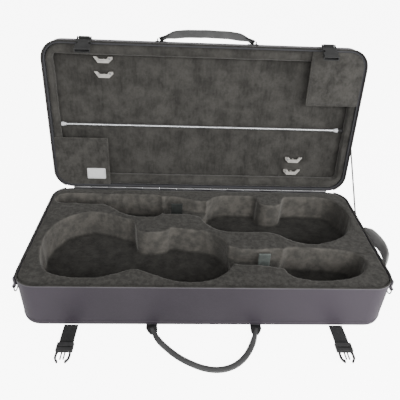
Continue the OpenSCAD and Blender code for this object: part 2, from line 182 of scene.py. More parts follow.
def puff(obj, pressure, cap):
    """Cloth simulation that swells a padded piece; no point moves further than cap."""
    before = [v.co.copy() for v in obj.data.vertices]
    frames = 14
    modifier = obj.modifiers.new("cloth", "CLOTH")
    settings = modifier.settings
    settings.quality = 5
    settings.mass = 0.3
    settings.tension_stiffness = 15
    settings.use_pressure = True
    settings.uniform_pressure_force = pressure
    settings.effector_weights.gravity = 0
    modifier.point_cache.frame_end = frames + 1
    scene = bpy.context.scene
    for number in range(1, frames + 1):
        scene.frame_set(number)
    bake(obj)
    scene.frame_set(1)
    for vertex, start in zip(obj.data.vertices, before):
        step = vertex.co - start
        if step.length > cap:
            vertex.co = start + step * (cap / step.length)


def ruffle(obj, size, height, seed):
    """Small uneven swell along the normals, like plush over foam."""
    normals = [v.normal.copy() for v in obj.data.vertices]
    offset = Vector((seed, seed * 1.7, seed * 0.3))
    for vertex, normal in zip(obj.data.vertices, normals):
        swell = noise.noise(vertex.co / size + offset)
        fine = noise.noise(vertex.co / (size * 0.35) + offset)
        vertex.co += normal * height * (swell + 0.4 * fine)


def outline_points(inset):
    """Rounded plan outline of the case, moved inwards by inset."""
    radius = CORNER_R - inset
    steps = 14
    points = []
    for corner, (side_x, side_y) in enumerate(((1, 1), (-1, 1), (-1, -1), (1, -1))):
        centre = Vector((side_x * (HALF_L - CORNER_R), side_y * (HALF_W - CORNER_R), 0))
        for step in range(steps + 1):
            angle = math.pi / 2 * (corner + step / steps)
            points.append(centre + Vector((math.cos(angle), math.sin(angle), 0)) * radius)
    return points


def oval(half_side, half_up, power=2.0, count=20):
    """Closed section between an ellipse (power 2) and a box (high power)."""
    ring = []
    for step in range(count):
        angle = 2 * math.pi * step / count
        c, s = math.cos(angle), math.sin(angle)
        ring.append((
            half_side * math.copysign(abs(c) ** (2 / power), c),
            half_up * math.copysign(abs(s) ** (2 / power), s),
        ))
    return ring


def circle(radius, count):
    return oval(radius, radius, 2, count)


def skin(rings, closed=False):
    """Faces that join rings of point numbers, with a cap on both ends unless closed."""
    faces = []
    for one, two in zip(rings, rings[1:] + rings[:1] if closed else rings[1:]):
        for j in range(len(one)):
            k = (j + 1) % len(one)
            faces.append((one[j], two[j], two[k], one[k]))
    if not closed:
        faces.append(tuple(rings[0]))
        faces.append(tuple(reversed(rings[-1])))
    return faces


def sweep(name, path, section, material, closed=False, up=UP, fixed_side=None):
    """Surface that carries a section, a list of (side, up) offsets, along a path.

    A section that changes on its way is a function of the path point's number. Ribbons that
    fold over in their own plane give fixed_side, the direction of their width.
    """
    last = len(path) - 1
    points = []
    rings = []
    for i, centre in enumerate(path):
        before = path[i - 1] if closed or i > 0 else centre
        after = path[(i + 1) % len(path)] if closed or i < last else centre
        along = (after - before).normalized()
        side = fixed_side or along.cross(up).normalized()
        lift = side.cross(along)
        offsets = section(i) if callable(section) else section
        rings.append(range(len(points), len(points) + len(offsets)))
        points += [centre + side * a + lift * b for a, b in offsets]
    return add_object(name, mesh_from(name, points, skin(rings, closed)), material)


def resample(points, spacing):
    """Points at even spacing along a line."""
    lengths = [0.0]
    for a, b in zip(points, points[1:]):
        lengths.append(lengths[-1] + (b - a).length)
    count = max(2, round(lengths[-1] / spacing))
    result = []
    index = 0
    for step in range(count + 1):
        target = lengths[-1] * step / count
        while index < len(points) - 2 and lengths[index + 1] < target:
            index += 1
        span = max(lengths[index + 1] - lengths[index], 1e-9)
        result.append(points[index].lerp(points[index + 1], (target - lengths[index]) / span))
    return result


def smooth_line(points, rounds):
    """Line smoothed by averaging, with its ends kept."""
    for _ in range(rounds):
        inner = [(a + b * 2 + c) / 4 for a, b, c in zip(points, points[1:], points[2:])]
        points = [points[0]] + inner + [points[-1]]
    return points


def joined(name, objects, material):
    """One object from several meshes."""
    bm = bmesh.new()
    for obj in objects:
        bm.from_mesh(obj.data)
        bpy.data.objects.remove(obj)
    mesh = bpy.data.meshes.new(name)
    bm.to_mesh(mesh)
    bm.free()
    return add_object(name, mesh, material)


# Share of a stitch's pitch that stays free at each of its ends.
STITCH_GAP = 0.16
# Shares of a stitch's length and of its full radius there.
STITCH_PROFILE = ((0, 0.35), (0.2, 0.9), (0.5, 1.0), (0.8, 0.9), (1, 0.35))


def stitches(name, path, normal, material, pitch=3.2 * MM, size=0.42 * MM):
    """Row of thread stitches along a path, lying on the surface with that normal."""
    line = resample(path, pitch)
    corners = 6
    points = []
    faces = []
    for a, b in zip(line, line[1:]):
        across = (b - a).normalized().cross(normal).normalized()
        start = a.lerp(b, STITCH_GAP)
        end = a.lerp(b, 1 - STITCH_GAP)
        rings = []
        for share, radius in STITCH_PROFILE:
            centre = start.lerp(end, share) + normal * size * 0.35
            rings.append(range(len(points), len(points) + corners))
            points += [centre + across * x + normal * y for x, y in circle(size * radius, corners)]
        faces += skin(rings)
    return add_object(name, mesh_from(name, points, faces), material)


# ---------- material helpers ----------


def feed(tree, socket, value):
    """Links an output to a socket, or sets the socket to a number, vector or colour."""
    if isinstance(value, bpy.types.NodeSocket):
        tree.links.new(value, socket)
    elif socket.type == "RGBA" and isinstance(value, tuple):
        socket.default_value = (*value, 1)
    else:
        socket.default_value = value


def add_node(tree, kind, **values):
    """Shader node whose inputs, named by the keywords, are fed with the values."""
    node = tree.nodes.new("ShaderNode" + kind)
    for name, value in values.items():
        feed(tree, node.inputs[name.replace("_", " ")], value)
    return node


# Places of the factor, of both colours and of the result among the sockets of a colour mix.
MIX_FACTOR = 0
MIX_COLOURS = (6, 7)
MIX_RESULT = 2


class Finish:
    """Node material under construction."""

    def __init__(self, name, colour):
        self.colour = colour
        self.material = bpy.data.materials.new(name)
        self.material.use_nodes = True
        self.tree = self.material.node_tree
        self.shader = self.tree.nodes["Principled BSDF"]
        self.coords = self.node("TexCoord").outputs["Object"]

    def node(self, kind, **values):
        return add_node(self.tree, kind, **values)

    def set(self, **values):
        """Feeds the inputs of the surface shader."""
        for name, value in values.items():
            feed(self.tree, self.shader.inputs[name.replace("_", " ")], value)

    def stretched(self, scale):
        """Object coordinates, scaled along each axis where a scale is given."""
        if not scale:
            return self.coords
        return self.node("Mapping", Vector=self.coords, Scale=scale).outputs["Vector"]

    def noise(self, scale, detail=3.0, rough=0.55, stretch=None):
        return self.node("TexNoise", Vector=self.stretched(stretch), Scale=scale, Detail=detail,
                         Roughness=rough).outputs[0]

    def cells(self, scale, stretch=None):
        return self.node("TexVoronoi", Vector=self.stretched(stretch), Scale=scale).outputs["Distance"]

    def bands(self, scale, direction, distortion):
        node = self.node("TexWave", Vector=self.coords, Scale=scale, Distortion=distortion)
        node.bands_direction = direction
        return node.outputs["Fac"]

    def ranged(self, value, low, high, to_low=0.0, to_high=1.0):
        return self.node("MapRange", Value=value, From_Min=low, From_Max=high, To_Min=to_low,
                         To_Max=to_high).outputs["Result"]

    def combined(self, operation, a, b):
        node = self.node("Math")
        node.operation = operation
        for socket, value in zip(node.inputs, (a, b)):
            feed(self.tree, socket, value)
        return node.outputs[0]

    def mixed(self, factor, a, b):
        """Mix of two colours, where a number means that shade of the finish's own colour."""
        node = self.node("Mix")
        node.data_type = "RGBA"
        feed(self.tree, node.inputs[MIX_FACTOR], factor)
        for place, value in zip(MIX_COLOURS, (a, b)):
            if isinstance(value, float):
                value = shade(self.colour, value)
            feed(self.tree, node.inputs[place], value)
        return node.outputs[MIX_RESULT]

    def parts(self, vector):
        """Outputs X, Y and Z of a vector."""
        return self.node("SeparateXYZ", Vector=vector).outputs

    def geometry(self, output):
        return self.node("NewGeometry").outputs[output]

    def steepness(self, most):
        """Share up to most that grows as the surface turns upright."""
        flat = self.combined("ABSOLUTE", self.parts(self.geometry("True Normal"))["Z"], 0.0)
        return self.ranged(flat, 0.25, 0.9, most, 0.0)

    def shade_facing_left(self, most):
        """Share up to most on faces that point to the left, away from the light; it masks painted shade."""
        return self.ranged(self.parts(self.geometry("True Normal"))["X"], -0.25, -0.85, 0.0, most)

    def edges(self, most):
        """Share up to most that grows along the outer edges of the shape."""
        return self.ranged(self.geometry("Pointiness"), 0.52, 0.6, 0.0, most)

    def bump(self, height, strength, distance):
        """Bump that adds to the ones before it."""
        node = self.node("Bump", Height=height, Strength=strength, Distance=distance)
        if self.shader.inputs["Normal"].links:
            feed(self.tree, node.inputs["Normal"], self.shader.inputs["Normal"].links[0].from_socket)
        self.set(Normal=node.outputs["Normal"])


def shade(colour, amount):
    return tuple(min(1.0, c * amount) for c in colour)


def tinted(colour, *gains):
    """Colour with its own gain for red, green and blue."""
    return tuple(c * gain for c, gain in zip(colour, gains))


def greyed(colour):
    return (sum(colour) / 3,) * 3


def slot_colour(slot, amount=1.0):
    return shade(SLOTS[slot]["base_color"][:3], amount)


def insert_tone(look, tone, patches, floor_z):
    """Pile of the insert, with painted light and shade: upright walls painted lighter, a painted highlight along
    the edges, painted shade on the deep floors.
    """
    flecks = look.ranged(look.noise(95, 4.0, 0.7), 0.42, 0.6)
    tone = look.mixed(0.6, tone, look.mixed(flecks, 0.34, 1.1))
    # Painted light: upright walls get a lighter, warmer copy of the pile colour, mixed in by steepness below.
    wall = look.mixed(patches, 1.35, tinted(shade(look.colour, 2.5), 1.03, 1.0, 0.97))
    # Painted shade on the walls that face left, away from the lamps.
    wall = look.mixed(look.shade_facing_left(0.7), wall, 0.5)
    tone = look.mixed(look.steepness(0.8), tone, wall)
    # Painted shade on the well floors, growing from 8 mm above them down to the floor.
    height = look.parts(look.coords)["Z"]
    floor_shade = look.ranged(height, floor_z + 8 * MM, floor_z, 0.0, 0.7)
    tone = look.mixed(floor_shade, tone, look.mixed(patches, 0.2, 0.55))
    # Painted highlight along the outer edges of the wells and blocks.
    return look.mixed(look.edges(0.5), tone, 2.2)


def plush_finish(name, colour, streak, patch, floor_z=None):
    """Brushed plush: soft patches where the pile lies differently, and fine fibres.

    The insert gives floor_z, the height of the floors of its wells, which get painted shade.
    """
    look = Finish(name, colour)
    patches = look.ranged(look.noise(patch, 5.0, 0.66), 0.38, 0.62)
    tufts = look.ranged(look.noise(170, 3.0, 0.65), 0.36, 0.66)
    streaks = look.ranged(look.noise(160, 3.0, 0.6, streak), 0.3, 0.7)
    fibre = look.noise(1300, 2.0, 0.7)
    tone = look.mixed(patches, 0.56, 1.36)
    tone = look.mixed(look.combined("MULTIPLY", tufts, 0.3), tone, 0.42)
    tone = look.mixed(look.combined("MULTIPLY", streaks, 0.34), tone, 1.65)
    if floor_z:
        tone = insert_tone(look, tone, patches, floor_z)
    speck = look.combined("MULTIPLY", look.ranged(fibre, 0.35, 0.75), 0.5)
    look.set(Base_Color=look.mixed(speck, tone, 0.45), Roughness=0.95,
             Specular_IOR_Level=0.12, Sheen_Weight=0.32, Sheen_Roughness=0.42,
             Sheen_Tint=(0.86, 0.84, 0.80))
    look.bump(fibre, 0.5, 0.0009)
    look.bump(look.noise(patch * 2.2, 4.0, 0.6), 0.35, 0.004)
    return look.material


def outer_fabric_finish(name, colour):
    """Tight satin cloth: fine crossed threads, fine slubs, slow colour drift and a painted sheen that lightens
    both ends.
    """
    look = Finish(name, tinted(colour, 1.06, 0.96, 1.0))
    threads = look.combined("MULTIPLY", look.bands(420, "X", 0.6), look.bands(420, "Z", 0.6))
    slubs = look.noise(260, 3.0, 0.6, (1.0, 1.0, 6.0))
    drift = look.ranged(look.noise(5, 3.0, 0.5), 0.3, 0.7)
    tone = look.mixed(drift, 0.26, 0.38)
    place = look.parts(look.coords)["X"]
    # Painted sheen: the cloth is painted lighter towards both ends of the case.
    right_end_sheen = look.ranged(place, 0.05, 0.42, 0.0, 0.6)
    left_end_sheen = look.ranged(place, -0.2, -0.42, 0.0, 0.4)
    tone = look.mixed(look.combined("ADD", right_end_sheen, left_end_sheen), tone, 0.9)
    tone = look.mixed(look.ranged(slubs, 0.4, 0.7, 0.0, 0.3), tone, 0.8)
    look.set(Base_Color=tone, Roughness=look.ranged(slubs, 0.3, 0.7, 0.44, 0.58),
             Specular_IOR_Level=0.5, Sheen_Weight=0.3, Sheen_Roughness=0.3)
    look.bump(threads, 0.25, 0.0003)
    look.bump(slubs, 0.12, 0.0005)
    look.bump(look.noise(22, 3.0, 0.5), 0.10, 0.004)
    return look.material


def webbing_finish(name, colour):
    """Ribbed webbing with a slight fray between its ribs."""
    look = Finish(name, colour)
    ribs = look.bands(330, "X", 0.3)
    worn = look.ranged(look.noise(60, 3.0, 0.6), 0.4, 0.7, 0.0, 0.5)
    tone = look.mixed(look.ranged(ribs, 0.2, 0.8, 0.0, 0.8), 0.55, 1.5)
    look.set(Base_Color=look.mixed(worn, tone, 2.0), Roughness=0.8, Specular_IOR_Level=0.25,
             Sheen_Weight=0.2)
    look.bump(ribs, 0.4, 0.0004)
    look.bump(look.noise(1500, 2.0, 0.7), 0.3, 0.0004)
    return look.material


def leather_finish(name, colour, rough):
    """Leatherette: pebbled grain, rubbed highlights and fine creases."""
    look = Finish(name, colour)
    grain = look.cells(900)
    rubbed = look.ranged(look.noise(28, 3.0, 0.6), 0.42, 0.72, 0.0, 0.55)
    tone = look.mixed(look.ranged(grain, 0.0, 0.6), 1.12, 0.8)
    look.set(Base_Color=look.mixed(rubbed, tone, 1.5), Specular_IOR_Level=0.5,
             Roughness=look.ranged(grain, 0.0, 0.7, rough - 0.06, rough + 0.14))
    look.bump(grain, 0.35, 0.0005)
    look.bump(look.noise(90, 4.0, 0.65), 0.22, 0.0012)
    return look.material


def plastic_finish(name, colour, rough):
    """Moulded plastic: fine spark-eroded grain and uneven polish."""
    look = Finish(name, colour)
    polish = look.noise(70, 4.0, 0.6)
    tone = look.mixed(look.ranged(polish, 0.35, 0.7), 0.88, 1.18)
    look.set(Base_Color=tone, Specular_IOR_Level=0.5,
             Roughness=look.ranged(polish, 0.3, 0.7, rough - 0.08, rough + 0.12))
    look.bump(look.noise(1800, 2.0, 0.6), 0.12, 0.0004)
    return look.material


# Scale of a noise that is drawn out along X.
ALONG_X = (0.05, 1.0, 1.0)


def metal_finish(name, colour, rough, stretch):
    """Drawn or brushed metal: long fine scratches along one direction."""
    look = Finish(name, colour)
    scratch = look.noise(400, 4.0, 0.6, stretch)
    stain = look.ranged(look.noise(40, 3.0, 0.6), 0.35, 0.7)
    look.set(Base_Color=look.mixed(stain, 0.86, 1.06), Metallic=0.95,
             Roughness=look.ranged(scratch, 0.3, 0.7, rough - 0.08, rough + 0.12))
    look.bump(scratch, 0.08, 0.0003)
    return look.material


def cord_finish(name, colour):
    """Braided cord: crossing strands of two close tones."""
    look = Finish(name, colour)
    strands = look.cells(1400, (1.0, 1.0, 0.6))
    tone = look.mixed(look.ranged(strands, 0.1, 0.6), 1.8, 0.5)
    look.set(Base_Color=tone, Roughness=0.7, Sheen_Weight=0.2)
    look.bump(strands, 0.5, 0.0005)
    return look.material


def label_finish(name, colour):
    """Woven label: close pale threads, slightly soiled in patches."""
    look = Finish(name, colour)
    soil = look.ranged(look.noise(70, 4.0, 0.6), 0.45, 0.75, 0.0, 0.35)
    look.set(Base_Color=look.mixed(soil, 1.0, 0.72), Roughness=0.6, Sheen_Weight=0.1)
    look.bump(look.bands(700, "Z", 0.4), 0.2, 0.0003)
    return look.material


def soft_materials():
    plush = slot_colour("plush")
    floor_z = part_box("insert_floor")[1].z
    return {
        "plush": plush_finish("base_plush", plush, (1.0, 1.0, 0.5), 38, floor_z),
        "pocket": plush_finish("pocket_plush", plush, (1.0, 1.0, 0.5), 38),
        "lid_plush": plush_finish("lid_plush", shade(plush, 0.92), (1.0, 1.0, 0.22), 24),
        "trim": plush_finish("rim_plush", shade(plush, 0.6), (1.0, 1.0, 1.0), 38),
        "outer": outer_fabric_finish("outer_cloth", slot_colour("outer_fabric")),
        # Lid cloth: the same cloth painted 1.9 times lighter, a painted highlight for the face that looks up when
        # the lid is open.
        "lit_lid_outer": outer_fabric_finish("lit_lid_cloth", slot_colour("outer_fabric", 1.9)),
        "piping": leather_finish("satin_piping", (0.14, 0.13, 0.145), 0.38),
        "webbing": webbing_finish("ribbed_webbing", greyed(slot_colour("webbing", 0.5))),
        "neck_front": webbing_finish("neck_webbing", slot_colour("neck_webbing", 0.5)),
        "neck_rear": webbing_finish("dark_neck_webbing", slot_colour("neck_webbing", 0.1)),
        "tab": leather_finish("black_leatherette", slot_colour("tab_leatherette"), 0.42),
        "grip": leather_finish("grip_leatherette", slot_colour("grip_leatherette", 0.65), 0.32),
        "grey_grip": leather_finish("grey_leatherette", slot_colour("grey_grip", 1.25), 0.5),
        "thread": cord_finish("dark_thread", (0.035, 0.035, 0.04)),
        "pale_thread": cord_finish("grey_thread", (0.16, 0.16, 0.155)),
        "cord": cord_finish("stay_cord", slot_colour("cord", 0.45)),
        "label": label_finish("woven_label", slot_colour("label_card", 1.6)),
    }


def hard_materials():
    return {
        "shell": plastic_finish("moulded_board", slot_colour("moulded_shell"), 0.7),
        "buckle": plastic_finish("buckle_plastic", greyed(slot_colour("buckle_plastic", 1.1)), 0.4),
        "holder": plastic_finish("holder_plastic", slot_colour("holder_plastic"), 0.38),
        "cap": plastic_finish("cap_plastic", slot_colour("cap_plastic"), 0.25),
        "socket": plastic_finish("socket_rubber", slot_colour("socket_rubber"), 0.6),
        "rod": metal_finish("drawn_rod", slot_colour("rod_metal"), 0.24, ALONG_X),
        "steel": metal_finish("hinge_steel", slot_colour("hinge_steel", 0.6), 0.42, ALONG_X),
        "ring": metal_finish("dark_ring", slot_colour("ring_metal", 0.4), 0.55, (1.0, 1.0, 0.3)),
    }


MATERIALS = {**soft_materials(), **hard_materials()}


# ---------- carried-over CAD nodes ----------


def keep_cad(material, bevel, *nodes):
    """CAD nodes that stay: a finish and, with a bevel width, joined vertices and soft edges."""
    for name in nodes:
        obj = NODES[name]
        paint(obj, material)
        if bevel:
            obj.modifiers.new("weld", "WELD").merge_threshold = 1e-6
            add_bevel(obj, bevel, 2, 35)


def finish_cad_nodes():
    keep_cad("shell", 0, "base_shell", "lid_shell")
    keep_cad("outer", 0, "base_cover")
    # The lid cover gets the painted-lighter copy of the cloth.
    keep_cad("lit_lid_outer", 0, "lid_cover")
    keep_cad("trim", 0.5 * MM, "base_rim_trim", "lid_rim_trim")
    keep_cad("steel", 0.15 * MM, "hinge_leaf_base", "hinge_leaf_lid", "hinge_pin")
    keep_cad("rod", 0, "brace_rod")
    keep_cad("socket", 0.6 * MM, "rod_socket")
    keep_cad("holder", 0.9 * MM, "bow_holder_bases")
    keep_cad("holder", 0.7 * MM, "bow_key_1", "bow_key_2", "bow_key_3", "bow_key_4")
    for side in ("left", "right"):
        keep_cad("buckle", 0.6 * MM, f"male_buckle_{side}", f"female_buckle_{side}")
    keep_cad("ring", 0, "ring_left", "ring_right")
    keep_cad("ring", 0.2 * MM, "cord_rivet_base", "cord_rivet_lid")
    keep_cad("tab", 0.7 * MM, "lid_handle_tabs", "side_handle_tabs")


# ---------- padded insert ----------


def copy_of_insert():
    """One mesh of the three insert blocks, the middle one stretched a little into its neighbours."""
    low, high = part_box("insert_walls")
    overlap = 1 * MM
    blocks = [copy_of_node(node, f"{node}_copy") for node in INSERT_NODES]
    for vertex in blocks[1].data.vertices:
        vertex.co.z += overlap if vertex.co.z > (low.z + high.z) / 2 else -overlap
    return joined("insert_plush", blocks, "plush")


def crease_walls(obj, size, height):
    """Upright folds in the steep faces, where the plush is stretched round a bend."""
    normals = [v.normal.copy() for v in obj.data.vertices]
    for vertex, normal in zip(obj.data.vertices, normals):
        steep = max(0.0, 1 - 1.6 * abs(normal.z))
        fold = noise.noise(Vector((vertex.co.x, vertex.co.y, 0)) / size)
        vertex.co += normal * height * steep * fold


def build_insert():
    """Plush over foam: the CAD blocks with rounded edges, a slight swell and folds in the walls."""
    insert = copy_of_insert()
    remesh_soft(insert, 3.4 * MM, 6)
    ruffle(insert, 55 * MM, 0.9 * MM, 3)
    crease_walls(insert, 16 * MM, 2.0 * MM)
    paint(insert, "plush")
    attach(insert, "base", "plush", *INSERT_NODES)


# ---------- piping and hinge tape ----------


def hinge_free_outline(inset, z):
    """Outline from one end of the hinge, round the front, to the other end."""
    points = [Vector((p.x, p.y, z)) for p in outline_points(inset)]
    front = [p for p in points if p.y < HALF_W - 4 * MM]
    start = min(range(len(front)), key=lambda i: (front[i].x > 0, -front[i].y))
    return resample(front[start:] + front[:start], 6 * MM)


def build_piping():
    """Piping along the lip and along the outer edge of the base and of the lid."""
    low, high = closed_box("lid_cover")
    lip_depth = 0.8 * MM
    seam_depth = 13.5 * MM
    parts = (("base", COVER_HIGH.z - lip_depth, 1.5 * MM, seam_depth),
             ("lid", low.z + lip_depth, 1.4 * MM, high.z - seam_depth))
    for body, lip_z, lip_radius, seam_z in parts:
        path = opened(body, hinge_free_outline(0.5 * MM, lip_z))
        lip = sweep(f"{body}_lip_piping", path, circle(lip_radius, 10), "piping")
        attach(lip, body, "rim_trim")
        loop = opened(body, [Vector((p.x, p.y, seam_z)) for p in outline_points(-0.1 * MM)])
        path = resample(loop + loop[:1], 6 * MM)[:-1]
        seam = sweep(f"{body}_seam_piping", path, circle(0.9 * MM, 10), "outer", closed=True)
        attach(seam, body, "outer_fabric")


def build_hinge_tape():
    """Cloth tape along the rear wall, which closes the slit under the knuckles."""
    low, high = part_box("hinge_pin")
    behind = HINGE + Vector((0, 1.2 * MM, -7.5 * MM))
    path = resample([Vector((x, behind.y, behind.z)) for x in (low.x, high.x)], 20 * MM)
    tape = sweep("hinge_tape", path, oval(0.4 * MM, 5 * MM, 6, 16), "outer")
    attach(tape, "base", "outer_fabric")


# ---------- lid lining ----------


def build_lid_border():
    """Rolled foam border of the lid, swollen by cloth simulation."""
    border = copy_of_node("lid_border_pad", "lid_border_soft")
    remesh_soft(border, 4.2 * MM, 6)
    puff(border, 3.0, 2.5 * MM)
    ruffle(border, 60 * MM, 0.6 * MM, 11)
    paint(border, "lid_plush")
    attach(border, "lid", "plush", "lid_border_pad")


def corner_pull(x, y, half_x, half_y, radius, is_round):
    """Moves a point of a rectangle so that its corners, or the chosen ones, become round."""
    cx = abs(x) - (half_x - radius)
    cy = abs(y) - (half_y - radius)
    if cx <= 0 or cy <= 0 or (is_round and not is_round(x, y)):
        return x, y
    share = max(cx, cy) / math.hypot(cx, cy)
    return (math.copysign(half_x - radius + cx * share, x),
            math.copysign(half_y - radius + cy * share, y))


def sheet_faces(nx, ny):
    """Faces of a closed sheet: two grids of nx by ny cells and the strip round them."""
    faces = []
    row = nx + 1
    layer = row * (ny + 1)
    for j in range(ny):
        for i in range(nx):
            a = j * row + i
            faces.append((a, a + row, a + row + 1, a + 1))
            faces.append((a + layer, a + layer + 1, a + layer + row + 1, a + layer + row))
    edge = list(range(nx)) + [j * row + nx for j in range(ny)]
    edge += [ny * row + i for i in range(nx, 0, -1)] + [j * row for j in range(ny, 0, -1)]
    for a, b in zip(edge, edge[1:] + edge[:1]):
        faces.append((a, b, b + layer, a + layer))
    return faces


def soft_sheet(name, material, low, high, radius, relief, is_round=None, spacing=5 * MM):
    """Closed sheet filling a closed-lid box; relief(x, y) lowers its face towards the rim."""
    middle = (low + high) / 2
    half_x, half_y, _ = (high - low) / 2
    nx = max(4, round(2 * half_x / spacing))
    ny = max(4, round(2 * half_y / spacing))
    points = []
    for back in (False, True):
        for j in range(ny + 1):
            for i in range(nx + 1):
                x = half_x * (2 * i / nx - 1)
                y = half_y * (2 * j / ny - 1)
                x, y = corner_pull(x, y, half_x, half_y, radius, is_round)
                z = high.z if back else low.z - relief(x, y)
                points.append(TURN @ Vector((middle.x + x, middle.y + y, z)))
    return add_object(name, mesh_from(name, points, sheet_faces(nx, ny)), material)


def round_edges(obj, width):
    """Rounded rim of a sheet."""
    add_bevel(obj, width, 3, 50)
    bake(obj)


def build_lid_panel():
    """Thin lining board that bellies slightly between its glued edges."""
    low, high = closed_box("lid_lining_panel")

    def relief(x, y):
        wave = noise.noise(Vector((x / 0.09, y / 0.09, 4.0)))
        press = noise.noise(Vector((x / 0.035, y / 0.06, 9.0)))
        return (wave + 0.5 * press) * 0.5 * MM

    radius = CORNER_R - (HALF_L - high.x)
    panel = soft_sheet("lid_lining_soft", "lid_plush", low, high, radius, relief)
    attach(panel, "lid", "plush", "lid_lining_panel")


def build_pocket(side, outer):
    """Card pocket covered in plush; outer is 1 at the right end of the lid and -1 at the left."""
    node = f"bow_tip_pocket_{side}"
    low, high = closed_box(node)
    half_x, half_y, _ = (high - low) / 2
    mouth_x, far_x = (low.x, high.x) if outer > 0 else (high.x, low.x)
    free_y, far_y = (high.y, low.y) if outer > 0 else (low.y, high.y)

    def at_corner(x, y):
        return x * outer > 0 and y * outer < 0

    def relief(x, y):
        crown = (1 - (x / half_x) ** 2) * (1 - (y / half_y) ** 2)
        fold = noise.noise(Vector((x / 0.03, y / 0.045, 2.0 + outer)))
        return (0.7 * crown + 0.28 * fold * (1 - (x / half_x) ** 4)) * MM

    radius = CORNER_R - (HALF_L - abs(far_x))
    front = low + UP * 0.2 * MM
    pocket = soft_sheet(f"tip_pocket_{side}", "pocket", front, high, radius, relief, at_corner, 3 * MM)
    round_edges(pocket, 1.1 * MM)
    attach(pocket, "lid", "plush", node)
    inset = outer * 5 * MM
    z = low.z - 0.35 * MM
    corners = ((mouth_x + inset, far_y + inset * 3), (mouth_x + inset, free_y - inset),
               (far_x - inset * 2, free_y - inset))
    path = opened("lid", [Vector((x, y, z)) for x, y in corners])
    seam = stitches(f"pocket_stitches_{side}", path, LID_FACE, "thread", 3.6 * MM, 0.4 * MM)
    attach(seam, "lid", "plush")


def build_label():
    """Plain woven label with a stitched border; it carries no lettering."""
    low, high = closed_box("plain_label")
    label = soft_sheet("blank_label", "label", low, high, 2.5 * MM, lambda x, y: 0.0, spacing=1.5 * MM)
    round_edges(label, 0.2 * MM)
    attach(label, "lid", "label_card", "plain_label")
    inset = 2.2 * MM
    left, right = low.x + inset, high.x - inset
    near, far = low.y + inset, high.y - inset
    z = low.z - 0.1 * MM
    corners = ((left, near), (right, near), (right, far), (left, far), (left, near))
    path = opened("lid", [Vector((x, y, z)) for x, y in corners])
    seam = stitches("label_stitches", path, LID_FACE, "pale_thread", 1.8 * MM, 0.22 * MM)
    attach(seam, "lid", "label_card")


# ---------- brace rod ends and bow holders ----------


def build_rod_caps():
    """Flared caps on both ends of the brace rod."""
    low, high = closed_box("rod_end_caps")
    rod_low, rod_high = closed_box("brace_rod")
    outer = (high.y - low.y) / 2
    inner = (rod_high.y - rod_low.y) / 2 + 0.5 * MM
    middle = (low + high) / 2
    # Shares of the cap's length from its free end, and of its flare there.
    profile = ((0.0, 0.2), (0.04, 0.9), (0.12, 1.0), (0.35, 0.94), (0.6, 0.5), (0.8, 0.12), (1.0, 0.0))
    sections = [circle(inner + (outer - inner) * flare, 28) for _, flare in profile]
    for side, end, root, nodes in (("left", low.x, rod_low.x, ["rod_end_caps"]),
                                   ("right", high.x, rod_high.x, [])):
        path = [Vector((end + (root - end) * share, middle.y, middle.z)) for share, _ in profile]
        cap = sweep(f"rod_cap_{side}", opened("lid", path), sections.__getitem__, "cap")
        attach(cap, "lid", "cap_plastic", *nodes)


def build_key_screws():
    """Domed screw head on the pivot of each bow key."""
    # Radius and height above the key, in millimetres.
    profile = ((2.6, 0.0), (2.6, 0.5), (2.1, 1.0), (0.9, 1.15))
    sections = [circle(radius * MM, 20) for radius, _ in profile]
    across = LID_FACE.orthogonal().normalized()
    for number in range(1, 5):
        pivot = TURN_BACK @ pivot_of(f"key_{number}_turn")
        pivot.z = closed_box(f"bow_key_{number}")[0].z
        path = [TURN @ pivot + LID_FACE * height * MM for _, height in profile]
        screw = sweep(f"key_screw_{number}", path, sections.__getitem__, "steel", fixed_side=across)
        attach(screw, f"key_{number}", "hinge_steel")


# ---------- handles ----------


def arch_line(node, centre, outward, along):
    """Middle line of an arched CAD handle, found bin by bin round its centre."""
    bins = 44
    rows = [[] for _ in range(bins)]
    for vertex in NODES[node].data.vertices:
        ray = vertex.co - centre
        a = ray.dot(along)
        b = ray.dot(outward)
        if b < 0.5 * MM:
            continue
        angle = math.atan2(b, -a)
        rows[min(bins - 1, int(angle / math.pi * bins))].append(Vector((a, b)))
    line = []
    for row in filter(None, rows):
        near = min(row, key=lambda p: p.length)
        far = max(row, key=lambda p: p.length)
        a, b = (near + far) / 2
        line.append(centre + along * a + outward * b)
    return line


def padded_strap(name, line, up, half_side, half_up, material, taper, lean=0.0):
    """Padded strap that narrows to flat tabs at both ends and leans over between them."""
    last = len(line) - 1

    def section(i):
        end = min(i, last - i) / last / taper
        grow = 1.0 if end >= 1 else end * end * (3 - 2 * end)
        turn = lean * (0.6 + 0.4 * grow)
        c, s = math.cos(turn), math.sin(turn)
        ring = oval(half_side * (0.6 + 0.4 * grow), half_up * (0.5 + 0.5 * grow), 2.6, 28)
        return [(a * c - b * s, a * s + b * c) for a, b in ring]

    return sweep(name, line, section, material, up=up)


def end_tab(name, root, direction, up, width, length, thick):
    """Folded leatherette tab: a flat tongue that narrows towards the strap."""
    steps = 7

    def section(i):
        share = i / steps
        half = width / 2 * (1 - 0.42 * share * share)
        return oval(half, thick / 2 * (1 - 0.2 * share), 5, 20)

    path = [root + direction * length * step / steps for step in range(steps + 1)]
    return sweep(name, path, section, "tab", up=up)


def moved_along(line, side_shift, up_shift):
    """The line shifted sideways and upwards."""
    result = []
    for before, point, after in zip(line[:1] + line, line, line[1:] + line[-1:]):
        side = (after - before).normalized().cross(UP).normalized()
        result.append(point + side * side_shift + UP * up_shift)
    return result


